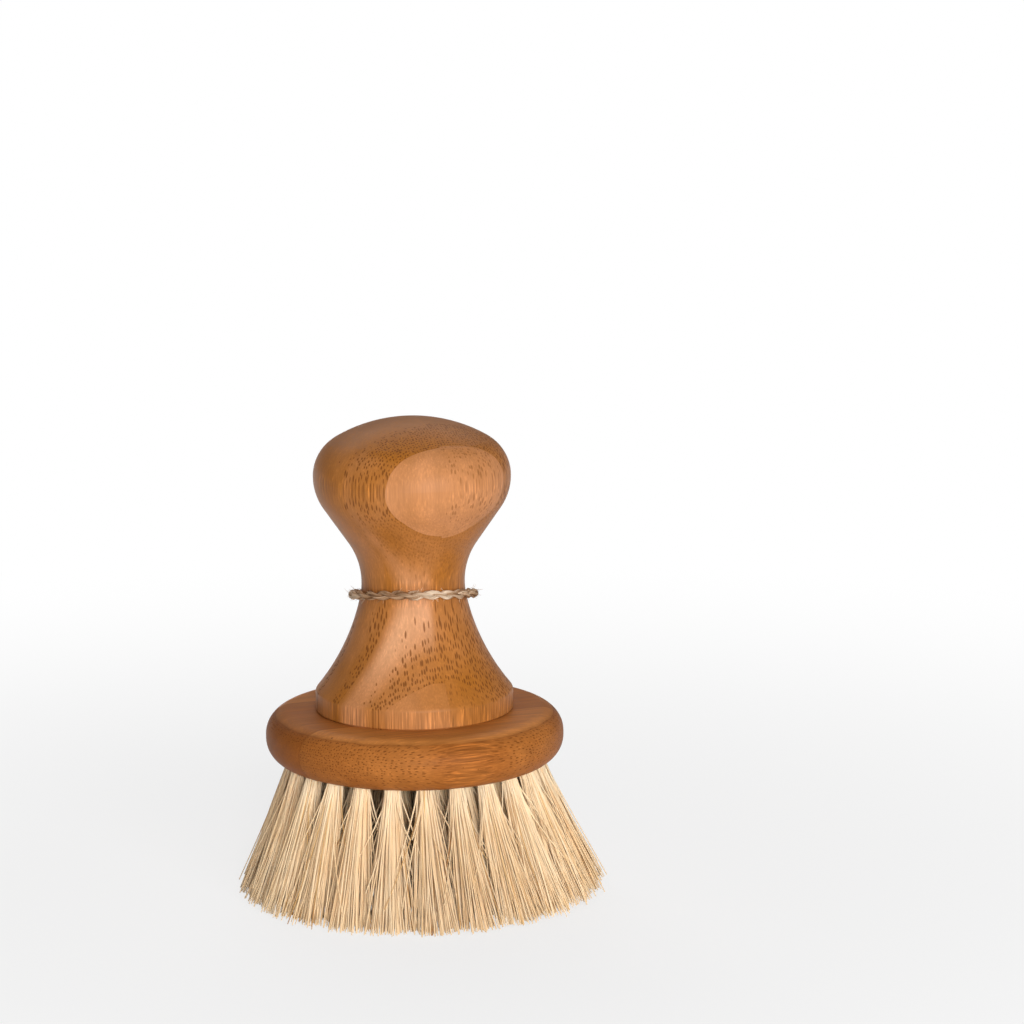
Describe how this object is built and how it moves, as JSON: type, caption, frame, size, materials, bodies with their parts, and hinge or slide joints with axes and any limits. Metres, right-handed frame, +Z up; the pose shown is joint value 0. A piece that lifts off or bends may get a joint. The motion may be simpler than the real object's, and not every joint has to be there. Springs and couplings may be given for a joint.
{
  "type": "vegetable brush",
  "caption": "Round hand brush for scrubbing vegetables: a turned bamboo knob handle on a bamboo block set with splayed natural-fibre tufts.",
  "frame": {"origin": "centre of the brush on the plane of the trimmed fibre tips", "axes": "+Z up the handle's axis from the tips to the knob, -Y towards the front, twine ends at +Y"},
  "size_m": [0.0778, 0.0778, 0.1005],
  "materials": {
    "handle_bamboo": "honey laminated bamboo under a satin lacquer, fibres along the handle",
    "block_bamboo": "red-brown laminated bamboo under a satin lacquer, fibres across the block",
    "bristle_fibre": "cream and straw natural plant fibre, trimmed at the tips",
    "screw_steel": "zinc-plated steel",
    "anchor_steel": "flat drawn wire",
    "twine": "two-ply plant-fibre twine"
  },
  "bodies": {
    "root": {"handle": "handle_bamboo", "brush_block": "block_bamboo", "handle_screw": "screw_steel", "tuft_anchors": "anchor_steel", "neck_twine": "twine", "tuft_outer_01": "bristle_fibre", "tuft_outer_02": "bristle_fibre", "tuft_outer_03": "bristle_fibre", "tuft_outer_04": "bristle_fibre", "tuft_outer_05": "bristle_fibre", "tuft_outer_06": "bristle_fibre", "tuft_outer_07": "bristle_fibre", "tuft_outer_08": "bristle_fibre", "tuft_outer_09": "bristle_fibre", "tuft_outer_10": "bristle_fibre", "tuft_outer_11": "bristle_fibre", "tuft_outer_12": "bristle_fibre", "tuft_outer_13": "bristle_fibre", "tuft_outer_14": "bristle_fibre", "tuft_outer_15": "bristle_fibre", "tuft_outer_16": "bristle_fibre", "tuft_outer_17": "bristle_fibre", "tuft_outer_18": "bristle_fibre", "tuft_outer_19": "bristle_fibre", "tuft_outer_20": "bristle_fibre", "tuft_outer_21": "bristle_fibre", "tuft_outer_22": "bristle_fibre", "tuft_outer_23": "bristle_fibre", "tuft_outer_24": "bristle_fibre", "tuft_second_01": "bristle_fibre", "tuft_second_02": "bristle_fibre", "tuft_second_03": "bristle_fibre", "tuft_second_04": "bristle_fibre", "tuft_second_05": "bristle_fibre", "tuft_second_06": "bristle_fibre", "tuft_second_07": "bristle_fibre", "tuft_second_08": "bristle_fibre", "tuft_second_09": "bristle_fibre", "tuft_second_10": "bristle_fibre", "tuft_second_11": "bristle_fibre", "tuft_second_12": "bristle_fibre", "tuft_second_13": "bristle_fibre", "tuft_second_14": "bristle_fibre", "tuft_second_15": "bristle_fibre", "tuft_second_16": "bristle_fibre", "tuft_third_01": "bristle_fibre", "tuft_third_02": "bristle_fibre", "tuft_third_03": "bristle_fibre", "tuft_third_04": "bristle_fibre", "tuft_third_05": "bristle_fibre", "tuft_third_06": "bristle_fibre", "tuft_third_07": "bristle_fibre", "tuft_third_08": "bristle_fibre", "tuft_third_09": "bristle_fibre", "tuft_inner_01": "bristle_fibre", "tuft_inner_02": "bristle_fibre", "tuft_inner_03": "bristle_fibre", "tuft_inner_04": "bristle_fibre", "tuft_inner_05": "bristle_fibre"}
  },
  "joints": []
}
